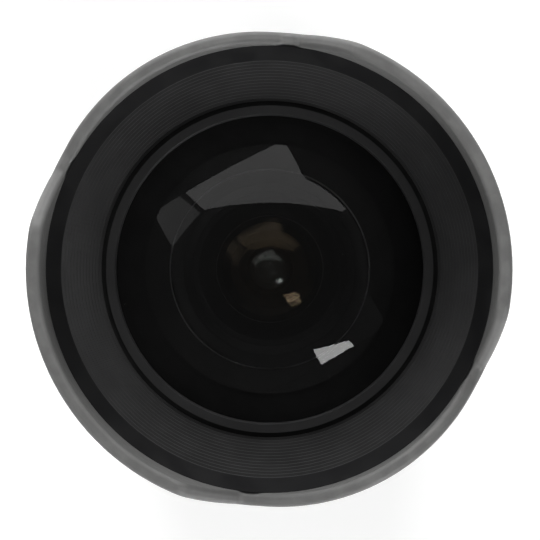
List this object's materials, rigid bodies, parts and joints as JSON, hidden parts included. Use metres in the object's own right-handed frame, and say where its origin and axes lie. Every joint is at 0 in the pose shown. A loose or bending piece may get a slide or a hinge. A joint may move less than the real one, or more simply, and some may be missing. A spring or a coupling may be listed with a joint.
{
  "type": "wide-angle prime lens",
  "caption": "Manual-focus wide-angle prime camera lens with a domed front element, a petal hood, a ribbed focus ring, an aperture ring and a bayonet mount.",
  "frame": {"origin": "centre of the bayonet's reference face", "axes": "+Z forward along the optical axis, tall petals on +Y and -Y, mount index on +X"},
  "size_m": [0.087, 0.087, 0.1001],
  "materials": {
    "mount_chrome": "chromed brass, fine turned",
    "steel": "plain steel",
    "black_steel": "blackened steel",
    "red_dot": "gloss enamel",
    "baffle_black": "matte black",
    "barrel_black": "satin black anodised",
    "inner_black": "matte black anodised",
    "bare_aluminium": "turned",
    "brass": "turned",
    "grip_rubber": "matte ribbed",
    "hood_black": "fine satin black",
    "liner_black": "matte black",
    "coated_glass": "polished, coated",
    "blade_black": "blackened spring steel"
  },
  "bodies": {
    "barrel": {"baffle_screws": "black_steel", "bayonet_mount": "mount_chrome", "detent_ball": "steel", "detent_spring": "steel", "focus_stop_pin": "steel", "front_element": "coated_glass", "front_group_ring": "inner_black", "front_housing": "inner_black", "front_retaining_ring": "inner_black", "front_spacer": "inner_black", "guide_barrel": "bare_aluminium", "guide_screws": "steel", "hood_liner": "liner_black", "hood_screws": "black_steel", "hood_shell": "hood_black", "housing_screws": "black_steel", "index_barrel": "barrel_black", "index_screws": "steel", "mount_index": "red_dot", "mount_screws": "steel", "rear_baffle": "baffle_black", "rear_barrel": "barrel_black", "second_element": "coated_glass", "third_element": "coated_glass"},
    "focus": {"focus_ring": "barrel_black", "focus_grip": "grip_rubber", "cam_sleeve": "bare_aluminium", "cam_screws": "steel"},
    "focus_cell": {"focus_cell": "inner_black", "follower_rollers": "brass", "follower_screws": "steel", "middle_barrel": "inner_black", "middle_screws": "black_steel", "fourth_element": "coated_glass", "fifth_element": "coated_glass", "sixth_element": "coated_glass", "middle_spacer": "inner_black", "middle_ring": "inner_black", "iris_housing": "inner_black", "iris_screws": "black_steel", "rear_group_barrel": "inner_black", "seventh_element": "coated_glass", "eighth_element": "coated_glass", "ninth_element": "coated_glass", "tenth_element": "coated_glass", "rear_spacer": "inner_black", "rear_ring": "inner_black"},
    "aperture": {"aperture_ring": "barrel_black", "aperture_key": "brass", "iris_drive_ring": "inner_black"},
    "iris_actuator": {"iris_actuator": "inner_black"},
    "iris_blade_1": {"iris_blade_1": "blade_black"},
    "iris_blade_2": {"iris_blade_2": "blade_black"},
    "iris_blade_3": {"iris_blade_3": "blade_black"},
    "iris_blade_4": {"iris_blade_4": "blade_black"},
    "iris_blade_5": {"iris_blade_5": "blade_black"},
    "iris_blade_6": {"iris_blade_6": "blade_black"}
  },
  "joints": [
    {"name": "focus_turn", "type": "hinge", "parent": "barrel", "child": "focus", "pos_m": [0, 0, 0.0345], "axis": [0, 0, 1], "range_deg": [0, 110]},
    {"name": "focus_slide", "type": "slide", "parent": "barrel", "child": "focus_cell", "axis": [0, 0, 1], "range_m": [0, 0.0024]},
    {"name": "aperture_turn", "type": "hinge", "parent": "barrel", "child": "aperture", "pos_m": [0, 0, 0.0079], "axis": [0, 0, 1], "range_deg": [0, 42]},
    {"name": "iris_turn", "type": "hinge", "parent": "focus_cell", "child": "iris_actuator", "pos_m": [0, 0, 0.0283], "axis": [0, 0, 1], "range_deg": [0, 42]},
    {"name": "iris_blade_1_swing", "type": "hinge", "parent": "focus_cell", "child": "iris_blade_1", "pos_m": [0.0146, 0, 0.029], "axis": [0, 0, 1], "range_deg": [0, 32.5]},
    {"name": "iris_blade_2_swing", "type": "hinge", "parent": "focus_cell", "child": "iris_blade_2", "pos_m": [0.0073, 0.01264, 0.0292], "axis": [0, 0, 1], "range_deg": [0, 32.5]},
    {"name": "iris_blade_3_swing", "type": "hinge", "parent": "focus_cell", "child": "iris_blade_3", "pos_m": [-0.0073, 0.01264, 0.0294], "axis": [0, 0, 1], "range_deg": [0, 32.5]},
    {"name": "iris_blade_4_swing", "type": "hinge", "parent": "focus_cell", "child": "iris_blade_4", "pos_m": [-0.0146, 0, 0.0296], "axis": [0, 0, 1], "range_deg": [0, 32.5]},
    {"name": "iris_blade_5_swing", "type": "hinge", "parent": "focus_cell", "child": "iris_blade_5", "pos_m": [-0.0073, -0.01264, 0.0298], "axis": [0, 0, 1], "range_deg": [0, 32.5]},
    {"name": "iris_blade_6_swing", "type": "hinge", "parent": "focus_cell", "child": "iris_blade_6", "pos_m": [0.0073, -0.01264, 0.03], "axis": [0, 0, 1], "range_deg": [0, 32.5]}
  ],
  "couplings": [
    {"joint": "focus_slide", "follows": "focus_turn", "m_per_rad": 0.00125},
    {"joint": "iris_turn", "follows": "aperture_turn", "ratio": 1},
    {"joint": "iris_blade_1_swing", "follows": "aperture_turn", "ratio": 0.7738},
    {"joint": "iris_blade_2_swing", "follows": "aperture_turn", "ratio": 0.7738},
    {"joint": "iris_blade_3_swing", "follows": "aperture_turn", "ratio": 0.7738},
    {"joint": "iris_blade_4_swing", "follows": "aperture_turn", "ratio": 0.7738},
    {"joint": "iris_blade_5_swing", "follows": "aperture_turn", "ratio": 0.7738},
    {"joint": "iris_blade_6_swing", "follows": "aperture_turn", "ratio": 0.7738}
  ]
}
